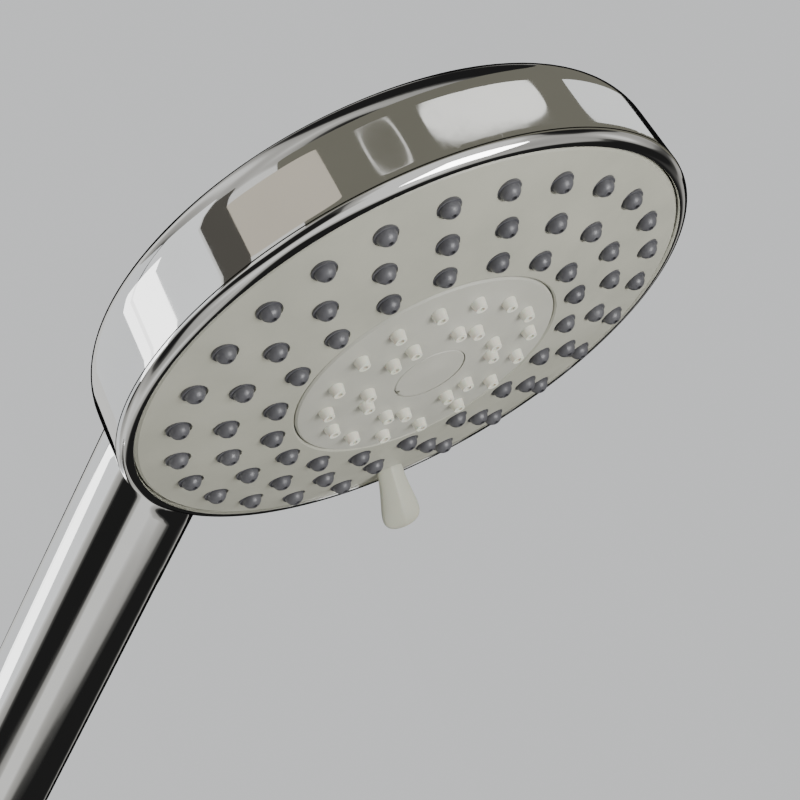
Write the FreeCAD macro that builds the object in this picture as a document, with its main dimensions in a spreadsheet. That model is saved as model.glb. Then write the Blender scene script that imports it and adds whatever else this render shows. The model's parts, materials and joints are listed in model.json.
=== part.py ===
import FreeCAD, Part
import math
import os
import re

import Sketcher

# Handheld shower head, in millimetres.
# The origin is the centre of the spray face's edge circle. +Z is the back of the head, the spray
# leaves along -Z, and the handle leaves the head towards +X and slopes down to the spray side.

os.makedirs("parts", exist_ok=True)
doc = FreeCAD.newDocument("shower_head")
Vector = FreeCAD.Vector
Rotation = FreeCAD.Rotation
Placement = FreeCAD.Placement
UP = Vector(0, 0, 1)
ACROSS = Vector(0, 1, 0)

DIMENSIONS = {
    # spray face: a shallow dome, bulging towards the spray side
    "face_radius": 57.0,
    "dome_depth": 7.2,
    "plate_wall": 2.2,
    "mat_wall": 1.3,
    "edge_chamfer": 0.5,
    "face_gap": 0.3,
    "seam_chamfer": 0.35,
    "disc_radius": 27.2,
    "cap_radius": 7.3,
    "cap_notch": 0.7,
    # rim and back of the head
    "rim_radius": 60.0,
    "rim_height": 1.5,
    "wall_height": 17.5,
    "wall_draft": 1.0,
    "back_edge": 3.0,
    "back_depth": 35.0,
    "shell_wall": 2.0,
    "mouth_depth": 6.0,
    # neck and handle
    "neck_height": 25.0,
    "neck_start": -14.0,
    "neck_root": 7.5,
    "neck_reach": 37.0,
    "neck_radius": 12.2,
    "bend_radius": 50.0,
    "handle_slope": 24.9,
    "handle_length": 130.0,
    "handle_tip": 11.0,
    # hose connection, G 1/2
    "thread_radius": 10.48,
    "thread_length": 11.0,
    "inlet_radius": 7.6,
    "insert_depth": 16.0,
    # waterway
    "tube_radius": 6.5,
    "tube_wall": 1.4,
    "socket_wall": 1.3,
    "socket_start": 14.0,
    "socket_end": 28.0,
    "ring_wire": 1.6,
    # stack behind the face
    "stack_top": 6.5,
    "valve_wall": 2.0,
    "valve_radius": 38.0,
    "running_gap": 0.05,
    "diverter_base": 9.2,
    "diverter_top": 13.8,
    "diverter_radius": 50.0,
    "spindle_radius": 4.2,
    "hub_radius": 6.5,
    "hub_end": -0.9,
    "chamber_radius": 17.5,
    "chamber_top": 4.0,
    "channel_radius": 24.0,
    "pocket_inner": 29.5,
    "pocket_outer": 53.4,
    "distributor_radius": 55.7,
    # nozzles
    "nozzle_base": 2.45,
    "nozzle_radius": 2.0,
    "nozzle_height": 1.85,
    "nozzle_round": 1.9,
    "nozzle_bore": 0.5,
    "peg_radius": 2.2,
    "jet_base": 1.5,
    "jet_tip": 1.15,
    "jet_height": 1.7,
    "jet_bore": 0.6,
    # valve stations
    "seal_place": 16.0,
    "seal_radius": 5.0,
    "detent_place": 34.0,
    "plunger_radius": 2.4,
    "boss_circle": 44.0,
    "boss_radius": 3.4,
    "screw_radius": 1.25,
    "screw_clearance": 1.6,
    "screw_head": 2.9,
    # selector lever
    "lever_set_in": 6.0,
    "lever_lean": 47.0,
}

# Rings of spray nozzles: distance from the axis, places round the ring, nozzles made, first angle.
# The outer ring leaves out the place where the lever stands.
LEVER_ANGLE = -45.0
NOZZLE_RINGS = [
    ("outer_row", 49.6, 26, 25, LEVER_ANGLE + 360.0 / 26),
    ("middle_row", 40.6, 21, 21, 135.0),
    ("inner_row", 31.9, 18, 18, 135.0),
]
JET_RINGS = [
    ("jet_row", 21.4, 16, 133.5),
    ("first_pulse_row", 13.4, 6, 153.0),
    ("second_pulse_row", 13.4, 6, 173.0),
]
MODE_ANGLES = [0.0, 45.0, 90.0]
# Sections of the lever's paddle: distance from the root, half width, half depth.
LEVER_STATIONS = [
    (2.0, 2.8, 1.7),
    (4.5, 3.1, 1.75),
    (7.2, 3.8, 1.75),
    (9.8, 4.45, 1.65),
    (12.0, 4.3, 1.4),
    (13.4, 3.4, 1.0),
    (14.3, 1.9, 0.5),
]

sheet = doc.addObject("Spreadsheet::Sheet", "Dimensions")
for row, (alias, value) in enumerate(DIMENSIONS.items(), start=1):
    sheet.set("A%d" % row, alias)
    sheet.set("B%d" % row, str(value))
    sheet.setAlias("B%d" % row, alias)
doc.recompute()


def bound(expression):
    """Point every alias of an expression at the sheet."""
    return re.sub(r"[a-z_]+", lambda word: "Dimensions." + word.group(0)
                  if word.group(0) in DIMENSIONS else word.group(0), str(expression))


def size(expression):
    """The present value of an expression of the sheet's aliases."""
    return float(sheet.evalExpression(str(expression)))


FACE_SPHERE = "((face_radius ^ 2 + dome_depth ^ 2) / (2 * dome_depth))"
PLATE_SPHERE = "(%s - plate_wall)" % FACE_SPHERE
MAT_SPHERE = "(%s - plate_wall - mat_wall)" % FACE_SPHERE


def on_sphere(sphere, reach):
    """Height of a dome surface at a distance from the axis; the domes share one centre."""
    return "(%s - dome_depth - sqrt(%s ^ 2 - (%s) ^ 2))" % (FACE_SPHERE, sphere, reach)


def origin_plane(body, role):
    return [item for item in body.Origin.OriginFeatures if item.Role == role][0]


def new_body(label):
    body = doc.addObject("PartDesign::Body", label)
    body.Label = label
    return body


def new_sketch(body, name, role, offset=None):
    sketch = body.newObject("Sketcher::SketchObject", name)
    sketch.AttachmentSupport = [(origin_plane(body, role), "")]
    sketch.MapMode = "FlatFace"
    if offset is not None:
        sketch.AttachmentOffset = offset
    return sketch


def draw_outline(sketch, corners):
    """Closed outline. A corner is (reach, height) or (reach, height, bend): bend is the radius of
    the arc that leads to the next corner, positive when it turns left, negative when it turns right."""
    spots = [Vector(size(corner[0]), size(corner[1]), 0) for corner in corners]
    starts = []
    for index, corner in enumerate(corners):
        start = spots[index]
        end = spots[(index + 1) % len(spots)]
        if len(corner) == 2:
            sketch.addGeometry(Part.LineSegment(start, end))
            starts.append(1)
            continue
        bend = size(corner[2])
        chord = end - start
        side = Vector(-chord.y, chord.x, 0).normalize()
        rise = math.sqrt(bend ** 2 - (chord.Length / 2) ** 2)
        centre = (start + end) * 0.5 + side * math.copysign(rise, bend)
        first, last = (start, end) if bend > 0 else (end, start)
        circle = Part.Circle(centre, Vector(0, 0, 1), abs(bend))
        sketch.addGeometry(Part.ArcOfCircle(circle, circle.parameter(first), circle.parameter(last)))
        starts.append(1 if bend > 0 else 2)
    for index, corner in enumerate(corners):
        following = (index + 1) % len(corners)
        sketch.addConstraint(Sketcher.Constraint(
            "Coincident", index, 3 - starts[index], following, starts[following]))
        for kind, axis, expression, value in (("DistanceX", -2, corner[0], spots[index].x),
                                              ("DistanceY", -1, corner[1], spots[index].y)):
            if abs(value) < 1e-9:
                sketch.addConstraint(Sketcher.Constraint("PointOnObject", index, starts[index], axis))
                continue
            number = sketch.addConstraint(Sketcher.Constraint(
                kind, -1, 1, index, starts[index], value))
            sketch.setExpression("Constraints[%d]" % number, bound(expression))
        if len(corner) == 3:
            number = sketch.addConstraint(Sketcher.Constraint("Radius", index, abs(size(corner[2]))))
            sketch.setExpression("Constraints[%d]" % number, bound("abs(%s)" % corner[2]))


def turn(body, name, corners, offset=None):
    """Add a solid of revolution about the sketch's upright axis."""
    sketch = new_sketch(body, name + "_outline", "XZ_Plane", offset)
    draw_outline(sketch, corners)
    feature = body.newObject("PartDesign::Revolution", name)
    feature.Profile = sketch
    feature.ReferenceAxis = (sketch, ["V_Axis"])
    feature.Angle = 360
    doc.recompute()
    body.Tip = feature
    return feature


def turned(label, corners):
    body = new_body(label)
    turn(body, label + "_turned", corners)
    return body


def aside(reach, angle):
    """Offset of an upright sketch plane to a place round the axis."""
    angle = math.radians(angle)
    return Placement(Vector(reach * math.cos(angle), 0, -reach * math.sin(angle)), Rotation())


def repeat(body, feature, places, made):
    """Repeat a feature round the axis, leaving out the last places when fewer are made."""
    pattern = body.newObject("PartDesign::PolarPattern", feature.Name + "_row")
    pattern.Originals = [feature]
    pattern.Axis = (origin_plane(body, "Z_Axis"), [""])
    pattern.Angle = 360.0 if made == places else 360.0 / places * (made - 1)
    pattern.Occurrences = made
    body.Tip = pattern
    doc.recompute()
    return pattern


def drill(body, name, reach, angle, radius, low, high):
    """Cut an upright round hole between two heights, and confirm that it removed material."""
    before = body.Shape.Volume
    sketch = new_sketch(body, name + "_outline", "XZ_Plane", aside(reach, angle))
    draw_outline(sketch, [("0", low), (radius, low), (radius, high), ("0", high)])
    groove = body.newObject("PartDesign::Groove", name)
    groove.Profile = sketch
    groove.ReferenceAxis = (sketch, ["V_Axis"])
    groove.Angle = 360
    doc.recompute()
    body.Tip = groove
    doc.recompute()
    if body.Shape.Volume >= before - 1e-6:
        raise RuntimeError(name + " removed nothing")
    return groove


def primitive(kind, name, **sizes):
    item = doc.addObject(kind, name)
    for prop, expression in sizes.items():
        item.setExpression(prop, bound(expression))
    return item


def joined(kind, label, pieces):
    item = doc.addObject(kind, label)
    item.Shapes = pieces
    item.Label = label
    return item


def cut(label, base, tool):
    item = doc.addObject("Part::Cut", label)
    item.Base = base
    item.Tool = tool
    item.Label = label
    return item


# ---- the neck's line: level inside the head, then one bend, then straight down the handle ----
slope = math.radians(size("handle_slope"))
bend_centre = Vector(size("neck_reach"), 0, size("neck_height - bend_radius"))
handle_start = bend_centre + Vector(math.sin(slope), 0, math.cos(slope)) * size("bend_radius")
handle_way = Vector(math.cos(slope), 0, -math.sin(slope))
handle_turn = Rotation(UP, handle_way)
handle_end = handle_start + handle_way * size("handle_length")


def neck_run(name, root, radius, tip, start, length):
    """Level cone, bend and handle cone along the neck's line, fused into one solid."""
    level = primitive("Part::Cone", name + "_level", Radius1=root, Radius2=radius,
                      Height="neck_reach - (%s)" % start)
    level.Placement = Placement(Vector(size(start), 0, size("neck_height")), Rotation(ACROSS, 90))
    bend = primitive("Part::Torus", name + "_bend", Radius1="bend_radius", Radius2=radius,
                     Angle3="handle_slope")
    bend.Placement = Placement(bend_centre, Rotation(UP, Vector(1, 0, 0), ACROSS, "ZXY"))
    straight = primitive("Part::Cone", name + "_straight", Radius1=radius, Radius2=tip, Height=length)
    straight.Placement = Placement(handle_start, handle_turn)
    return [level, bend, straight]


# ---- housing: chromed shell, bezel, diverter body and what they hold ----
def make_back_shell():
    """Hollow head back, neck and handle in one moulding, with three bosses for the diverter body."""
    edge = "rim_radius - wall_draft - back_edge"
    shoulder = "wall_height + back_edge"
    dome = "(({0}) ^ 2 + ({1}) ^ 2) / (2 * ({1}))".format(edge, "back_depth - (%s)" % shoulder)
    mouth = "rim_height + 0.6"
    outer_head = turned("outer_head", [
        ("0", mouth), ("rim_radius", mouth),
        ("rim_radius - wall_draft", "wall_height", "back_edge * 1.25"),
        (edge, shoulder, dome), ("0", "back_depth")])
    inner_edge = "(%s - shell_wall * 0.5)" % edge
    inner_shoulder = "(%s - shell_wall)" % shoulder
    inner_dome = "({0} ^ 2 + ({1}) ^ 2) / (2 * ({1}))".format(
        inner_edge, "back_depth - shell_wall - %s" % inner_shoulder)
    inner_wall = "rim_radius - wall_draft - shell_wall"
    ledge = "rim_radius - shell_wall + 0.2"
    inner_head = turned("inner_head", [
        ("0", "0"), (ledge, "0"), (ledge, "mouth_depth"), (inner_wall, "mouth_depth"),
        (inner_wall, "wall_height - shell_wall"), (inner_edge, inner_shoulder, inner_dome),
        ("0", "back_depth - shell_wall")])
    outer = joined("Part::MultiFuse", "outer_form", [outer_head] + neck_run(
        "outer_neck", "neck_root", "neck_radius", "handle_tip", "neck_start", "handle_length"))
    inner = joined("Part::MultiFuse", "inner_form", [inner_head] + neck_run(
        "inner_neck", "neck_root - shell_wall", "neck_radius - shell_wall",
        "handle_tip - shell_wall", "neck_start", "handle_length + 0.01"))
    hollow = cut("hollow_form", outer, inner)
    bosses = []
    holes = []
    for number in range(3):
        angle = math.radians(60 + 120 * number)
        reach = size("boss_circle")
        spot = Vector(reach * math.cos(angle), reach * math.sin(angle), size("diverter_top"))
        boss = primitive("Part::Cylinder", "boss_%d" % number, Radius="boss_radius",
                         Height="back_depth * 0.66 - diverter_top")
        hole = primitive("Part::Cylinder", "boss_hole_%d" % number, Radius="screw_radius",
                         Height="8")
        boss.Placement = Placement(spot, Rotation())
        hole.Placement = Placement(spot, Rotation())
        bosses.append(boss)
        holes.append(hole)
    solid = joined("Part::MultiFuse", "bossed_form", [hollow] + bosses)
    return cut("back_shell", solid, joined("Part::MultiFuse", "boss_holes", holes))


def make_bezel_ring():
    """Convex chromed lip round the face, with a sleeve inside the shell's mouth."""
    bore = "face_radius + face_gap"
    sleeve = "rim_radius - shell_wall + 0.1"
    return turned("bezel_ring", [
        (bore, "-0.3"), (bore + " + 0.5", "-0.3", "3.6"), ("rim_radius", "rim_height"),
        ("rim_radius", "rim_height + 0.5"), (sleeve, "rim_height + 0.5"),
        (sleeve, "mouth_depth - 0.2"), (bore, "mouth_depth - 0.2")])


def make_diverter_body():
    """Fixed water distributor: disc, spindle for the face, waterway socket and two plunger wells."""
    spindle_end = "hub_end - 0.1"
    body = turned("diverter_body", [
        ("0", "12"), ("1.3", "12"), ("1.3", spindle_end), ("spindle_radius", spindle_end),
        ("spindle_radius", "diverter_base"), ("diverter_radius", "diverter_base"),
        ("diverter_radius", "diverter_top"), ("0", "diverter_top")])
    well_top = "diverter_top + 5.2"
    turn(body, "seal_tower", [
        ("0", "diverter_top"), ("seal_radius + 2.2", "diverter_top"),
        ("seal_radius + 2.2", "neck_height - 1"), ("0", "neck_height - 1")], aside(size("seal_place"), 0))
    turn(body, "detent_tower", [
        ("0", "diverter_top"), ("plunger_radius + 1.6", "diverter_top"),
        ("plunger_radius + 1.6", well_top), ("0", well_top)], aside(size("detent_place"), 180))
    reach = "tube_radius + socket_wall"
    lying = Placement(Vector(0, 0, 0), Rotation(Vector(0, 0, 1), -90))
    lift = Placement(Vector(0, size("neck_height"), 0), Rotation())
    turn(body, "socket", [
        ("0", "socket_start"), (reach, "socket_start"), (reach, "socket_end"), ("0", "socket_end")],
        lift.multiply(lying))
    socket_bore = new_sketch(body, "socket_bore_outline", "XZ_Plane", lift.multiply(lying))
    draw_outline(socket_bore, [
        ("0", "socket_start + 1.2"), ("tube_radius", "socket_start + 1.2"),
        ("tube_radius", "socket_end"), ("0", "socket_end")])
    bore = body.newObject("PartDesign::Groove", "socket_bore")
    bore.Profile = socket_bore
    bore.ReferenceAxis = (socket_bore, ["V_Axis"])
    bore.Angle = 360
    doc.recompute()
    body.Tip = bore
    seal_place = size("seal_place")
    drill(body, "water_drop", seal_place, 0, "2.6", "diverter_base", "neck_height")
    drill(body, "seal_well", seal_place, 0, "seal_radius + running_gap", "diverter_base", "16.5")
    drill(body, "detent_well", size("detent_place"), 180, "plunger_radius + running_gap",
          "diverter_base", "17")
    hole = drill(body, "screw_hole", size("boss_circle"), 60, "screw_clearance", "diverter_base",
                 "diverter_top")
    repeat(body, hole, 3, 3)
    sink = drill(body, "screw_sink", size("boss_circle"), 60, "screw_head + 0.2", "diverter_base",
                 "diverter_base + 2")
    repeat(body, sink, 3, 3)
    return body


def make_body_screws():
    """Three pan-head screws that hold the diverter body in the shell."""
    screws = []
    for number in range(3):
        angle = math.radians(60 + 120 * number)
        reach = size("boss_circle")
        head = primitive("Part::Cylinder", "screw_head_%d" % number, Radius="screw_head",
                         Height="1.9")
        shank = primitive("Part::Cylinder", "screw_shank_%d" % number, Radius="screw_radius",
                          Height="9.5")
        slot = primitive("Part::Box", "screw_slot_%d" % number, Length="4.2", Width="0.8", Height="0.9")
        spot = Vector(reach * math.cos(angle), reach * math.sin(angle), size("diverter_base + 0.1"))
        head.Placement = Placement(spot, Rotation())
        shank.Placement = Placement(spot, Rotation())
        slot.Placement = Placement(spot - Vector(2.1, 0.4, 0), Rotation())
        whole = joined("Part::MultiFuse", "screw_blank_%d" % number, [head, shank])
        screws.append(cut("screw_%d" % number, whole, slot))
    return compound("body_screws", screws)


def compound(label, pieces):
    item = doc.addObject("Part::Compound", label)
    item.Links = pieces
    item.Label = label
    return item


def make_waterway_tube():
    """Inner pipe that carries the water through the handle, so the chrome stays cool."""
    tip = "tube_radius"
    bore = "tube_radius - tube_wall"
    start = "socket_start + 5"
    length = "handle_length - insert_depth + 8"
    outer = joined("Part::MultiFuse", "tube_form", neck_run("tube", tip, tip, tip, start, length))
    inner = joined("Part::MultiFuse", "tube_bore", neck_run("bore", bore, bore, bore, start, length))
    tube = cut("tube_plain", outer, inner)
    grooves = []
    for number, place in enumerate(ring_places()):
        wide = primitive("Part::Cylinder", "groove_wide_%d" % number, Radius="tube_radius + 1",
                         Height="ring_wire + 0.2")
        core = primitive("Part::Cylinder", "groove_core_%d" % number, Radius="tube_radius - 0.7",
                         Height="ring_wire + 0.2")
        spot = Vector(place - size("ring_wire + 0.2") / 2, 0, size("neck_height"))
        wide.Placement = Placement(spot, Rotation(ACROSS, 90))
        core.Placement = Placement(spot, Rotation(ACROSS, 90))
        grooves.append(cut("groove_%d" % number, wide, core))
    return cut("waterway_tube", tube, joined("Part::MultiFuse", "tube_grooves", grooves))


def ring_places():
    return [size("socket_start + 7.5"), size("socket_start + 11")]


def make_waterway_rings():
    """Two O-rings on the tube's end, inside the socket."""
    rings = []
    for number, place in enumerate(ring_places()):
        ring = primitive("Part::Torus", "ring_%d" % number, Radius1="tube_radius - 0.05",
                         Radius2="ring_wire * 0.4")
        ring.Placement = Placement(Vector(place, 0, size("neck_height")), Rotation(ACROSS, 90))
        rings.append(ring)
    return compound("waterway_rings", rings)


def along_handle(body, distance):
    """Stand a turned piece on the handle's line, a distance past the bend, facing the hose."""
    body.Placement = Placement(handle_start + handle_way * distance, handle_turn)
    return body


def make_hose_connector():
    """Insert in the handle's end with the G 1/2 thread for the hose, thread drawn as rings."""
    inside = "handle_tip - shell_wall - 0.1"
    body = new_body("hose_connector")
    turn(body, "connector_turned", [
        ("inlet_radius", "-(insert_depth - 4)"), (inside + " - 0.6", "-(insert_depth - 4)"),
        (inside, "-(insert_depth - 5)"), (inside, "0"), ("handle_tip - 0.2", "0"),
        ("handle_tip - 0.2", "1.4"), ("thread_radius - 1.3", "1.4"),
        ("thread_radius - 1.3", "2.6"), ("thread_radius", "2.6"),
        ("thread_radius", "thread_length - 0.8"), ("thread_radius - 0.8", "thread_length"),
        ("inlet_radius", "thread_length")])
    return along_handle(body, size("handle_length"))


def make_handle_parts():
    """Pieces threaded on the handle's line near the hose end."""
    collar = turned("handle_end_ring", [
        ("handle_tip + 0.06", "-4.5"), ("handle_tip + 0.9", "-4", "2.5"), ("handle_tip + 0.9", "-0.6"),
        ("handle_tip + 0.3", "0"), ("handle_tip + 0.06", "0")])
    seal = turned("connector_ring", [
        ("tube_radius", "-(insert_depth - 5)"), ("inlet_radius", "-(insert_depth - 5)"),
        ("inlet_radius", "-(insert_depth - 7)"), ("tube_radius", "-(insert_depth - 7)")])
    regulator = turned("flow_regulator", [
        ("2.2", "-2"), ("inlet_radius - 0.1", "-2"), ("inlet_radius - 0.1", "3"), ("6.2", "3"),
        ("6.2", "0"), ("2.2", "0")])
    screen = new_body("filter_screen")
    turn(screen, "screen_turned", [
        ("0", "5.2"), ("5.6", "5.2"), ("6.4", "6.4"), ("inlet_radius - 0.05", "6.4"),
        ("inlet_radius - 0.05", "7.4"), ("6", "7.4"), ("5.2", "6"), ("0", "6")])
    mesh_rows = [(1.5, 6), (3.0, 12), (4.4, 18)]
    for number, (reach, count) in enumerate(mesh_rows):
        hole = drill(screen, "mesh_%d" % number, reach, 0, "0.45", "4", "8")
        repeat(screen, hole, count, count)
    middle = drill(screen, "mesh_centre", 0, 0, "0.45", "4", "8")
    screen.Tip = middle
    for piece in (collar, seal, regulator, screen):
        along_handle(piece, size("handle_length"))
    return [collar, seal, regulator, screen]


# ---- spray face: everything that turns with the lever ----
def cut_round(body, rings, radius_expression, low, high):
    for name, reach, places, made, first in rings:
        hole = drill(body, body.Label + "_" + name, reach, first, radius_expression, low, high)
        repeat(body, hole, places, made)


def grow_round(body, reach, places, made, first, name, corners):
    feature = turn(body, body.Label + "_" + name, corners, aside(reach, first))
    return repeat(body, feature, places, made)


def make_face_plate():
    """Domed spray plate with a skirt, a hole for each outer nozzle and a slot for the lever."""
    inner = "disc_radius + face_gap"
    seam = inner + " + seam_chamfer"
    skirt = "face_radius - 1.1"
    body = turned("face_plate", [
        (seam, on_sphere(FACE_SPHERE, seam), "(%s)" % FACE_SPHERE),
        ("face_radius - edge_chamfer", on_sphere(FACE_SPHERE, "face_radius - edge_chamfer")),
        ("face_radius", "edge_chamfer"), ("face_radius", "stack_top"), (skirt, "stack_top"),
        (skirt, on_sphere(PLATE_SPHERE, skirt), "-(%s)" % PLATE_SPHERE),
        (inner, on_sphere(PLATE_SPHERE, inner)),
        (inner, on_sphere(FACE_SPHERE, inner) + " + seam_chamfer")])
    cut_round(body, NOZZLE_RINGS, "nozzle_base + 0.02", "-12", "3.4")
    drill(body, "peg_slot", size("face_radius - lever_set_in"), LEVER_ANGLE, "peg_radius + 0.05",
          "-12", "2.4")
    return body


def nozzle_outline(reach):
    """Flush base ring with a domed teat on it, seen in section beside its own axis."""
    root = on_sphere(MAT_SPHERE, reach) + " - 0.2"
    flush = "(%s)" % on_sphere(FACE_SPHERE, reach)
    tip = flush + " - nozzle_height"
    return [("nozzle_bore", root), ("nozzle_bore", tip), ("nozzle_bore + 0.3", tip, "nozzle_round"),
            ("nozzle_radius", flush), ("nozzle_base", flush), ("nozzle_base", root)]


def make_outer_nozzle_mat():
    """Grey silicone sheet behind the plate with its three rows of nozzles."""
    inner = "disc_radius + 1.3"
    outer = "face_radius - 2.6"
    body = turned("outer_nozzle_mat", [
        (inner, on_sphere(PLATE_SPHERE, inner), "(%s)" % PLATE_SPHERE),
        (outer, on_sphere(PLATE_SPHERE, outer)),
        (outer, on_sphere(MAT_SPHERE, outer), "-(%s)" % MAT_SPHERE),
        (inner, on_sphere(MAT_SPHERE, inner))])
    cut_round(body, NOZZLE_RINGS, "nozzle_bore", "-12", "5")
    drill(body, "peg_hole", size("face_radius - lever_set_in"), LEVER_ANGLE, "peg_radius + 0.4", "-12", "4")
    for name, reach, places, made, first in NOZZLE_RINGS:
        grow_round(body, reach, places, made, first, "nozzles_" + name, nozzle_outline(reach))
    return body


def make_centre_disc():
    """Domed centre disc with its own rows of fine holes and a collar for the cap."""
    inner = "cap_radius + 0.2"
    collar = "cap_radius + 1.2"
    body = turned("centre_disc", [
        (inner, on_sphere(FACE_SPHERE, inner), "(%s)" % FACE_SPHERE),
        ("disc_radius - seam_chamfer", on_sphere(FACE_SPHERE, "disc_radius - seam_chamfer")),
        ("disc_radius", on_sphere(FACE_SPHERE, "disc_radius") + " + seam_chamfer"),
        ("disc_radius", on_sphere(PLATE_SPHERE, "disc_radius"), "-(%s)" % PLATE_SPHERE),
        (collar, on_sphere(PLATE_SPHERE, collar)), (collar, "-2.7"), (inner, "-2.7")])
    rings = [(name, reach, places, places, first) for name, reach, places, first in JET_RINGS]
    cut_round(body, rings, "jet_base + 0.02", "-12", "0")
    return body


def make_inner_nozzle_mat():
    """Ivory silicone sheet behind the centre disc: one row of single jets and six pairs."""
    inner = "cap_radius + 1.3"
    outer = "disc_radius - 0.7"
    body = turned("inner_nozzle_mat", [
        (inner, on_sphere(PLATE_SPHERE, inner), "(%s)" % PLATE_SPHERE),
        (outer, on_sphere(PLATE_SPHERE, outer)),
        (outer, on_sphere(MAT_SPHERE, outer), "-(%s)" % MAT_SPHERE),
        (inner, on_sphere(MAT_SPHERE, inner))])
    rings = [(name, reach, places, places, first) for name, reach, places, first in JET_RINGS]
    cut_round(body, rings, "jet_bore", "-12", "0")
    for name, reach, places, first in JET_RINGS:
        root = on_sphere(MAT_SPHERE, reach) + " - 0.2"
        flush = "(%s)" % on_sphere(FACE_SPHERE, reach)
        tip = flush + " - jet_height"
        grow_round(body, reach, places, places, first, "jets_" + name, [
            ("jet_bore", root), ("jet_bore", tip), ("jet_tip", tip), ("jet_base", flush),
            ("jet_base", root)])
    return body


def make_centre_cap():
    """Snap-in cover over the centre screw, with a small notch to pry it out by."""
    skirt = "cap_radius - 0.9"
    shoulder = "cap_radius - seam_chamfer * 0.6"
    body = turned("centre_cap", [
        ("0", "-dome_depth"), (shoulder, on_sphere(FACE_SPHERE, shoulder)),
        ("cap_radius", on_sphere(FACE_SPHERE, "cap_radius") + " + seam_chamfer * 0.6"),
        ("cap_radius", "-2.8"), (skirt, "-2.8"), (skirt, "-5.4"), ("0", "-5.4")])
    drill(body, "pry_notch", size("cap_radius"), 25, "cap_notch", "-8", "-6")
    return body


def make_distributor_plate():
    """Channelled plate behind the nozzle mats, with the hub that turns on the spindle."""
    bore = "spindle_radius + running_gap"
    wall = "chamber_radius + 1.5"

    def under(reach):
        return on_sphere(MAT_SPHERE, reach)

    body = turned("distributor_plate", [
        (bore, "hub_end"), ("hub_radius", "hub_end"), ("hub_radius", "chamber_top"),
        ("chamber_radius", "chamber_top"), ("chamber_radius", under("chamber_radius")),
        (wall, under(wall)), (wall, "chamber_top"), ("channel_radius", "chamber_top"),
        ("channel_radius", under("channel_radius")), ("pocket_inner", under("pocket_inner")),
        ("pocket_inner", "chamber_top + 0.5"), ("pocket_outer", "chamber_top + 0.5"),
        ("pocket_outer", under("pocket_outer")), ("distributor_radius", under("distributor_radius")),
        ("distributor_radius", "stack_top"), (bore, "stack_top")])
    port_reaches = [12.5, 21.5, 33.0]
    for mode, reach in zip(MODE_ANGLES, port_reaches):
        drill(body, "channel_port_%d" % mode, reach, -mode, "2.2", "2", "stack_top")
    return body


def make_swirl_plate():
    """Ring over the turbine whose inclined ports set the water spinning."""
    body = turned("swirl_plate", [
        ("hub_radius + 0.05", "chamber_top - 1.6"), ("chamber_radius - 0.1", "chamber_top - 1.6"),
        ("chamber_radius - 0.1", "chamber_top"), ("hub_radius + 0.05", "chamber_top")])
    hole = drill(body, "swirl_port", 14.2, 20, "1.1", "0", "6")
    repeat(body, hole, 4, 4)
    return body


def make_valve_plate():
    """Ported disc on the distributor that the seal cup bears on, with the click dimples."""
    body = turned("valve_plate", [
        ("spindle_radius + 0.3", "stack_top"), ("valve_radius", "stack_top"),
        ("valve_radius", "stack_top + valve_wall"),
        ("spindle_radius + 0.3", "stack_top + valve_wall")])
    for mode in MODE_ANGLES:
        drill(body, "valve_port_%d" % mode, size("seal_place"), -mode, "2.4", "6", "9")
        drill(body, "click_dimple_%d" % mode, size("detent_place"), 180 - mode, "1.5",
              "stack_top + valve_wall - 0.6", "9")
    return body


def make_selector_lever():
    """Paddle with a ridge down its middle, leaning out over the rim, on a peg in the plate."""
    reach = size("face_radius - lever_set_in")
    root = size(on_sphere(FACE_SPHERE, "face_radius - lever_set_in"))
    lean = size("lever_lean")
    sections = []
    for travel, half_width, half_depth in LEVER_STATIONS:
        corners = [Vector(half_width, 0, travel), Vector(0, half_depth, travel),
                   Vector(-half_width, 0, travel), Vector(0, -half_depth * 0.8, travel)]
        sections.append(Part.makePolygon(corners + corners[:1]))
    paddle = Part.makeLoft(sections, True, True)
    lever_way = Vector(math.sin(math.radians(lean)), 0, -math.cos(math.radians(lean)))
    frame = Placement(Vector(reach - 0.6, 0, root), Rotation(
        Vector(0, 1, 0), lever_way.cross(Vector(0, 1, 0)), lever_way, "ZXY"))
    paddle = paddle.transformGeometry(frame.toMatrix())
    peg = Part.makeCylinder(size("peg_radius"), 5.0, Vector(reach, 0, root - 2.6), UP)
    lever = paddle.fuse(peg).removeSplitter()
    item = doc.addObject("Part::Feature", "selector_lever")
    item.Shape = lever
    item.Label = "selector_lever"
    item.Placement = Placement(Vector(0, 0, 0), Rotation(UP, LEVER_ANGLE))
    return item


# ---- centre fastening, turbine and the two sprung pieces ----
def make_centre_parts():
    screw_seat = "hub_end - 0.9"
    washer = turned("screw_washer", [
        ("1.35", screw_seat), ("hub_radius - 0.3", screw_seat),
        ("hub_radius - 0.3", "hub_end - 0.1"), ("1.35", "hub_end - 0.1")])
    screw = turned("centre_screw", [
        ("0", "-3.3"), ("1.1", "-3.3"), ("1.1", "-3.9"), ("2.6", "-3.9"), ("3.4", "-3.1"),
        ("3.4", screw_seat), ("1.3", screw_seat), ("1.3", "11"), ("0", "11")])
    return [washer, screw]


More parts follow.
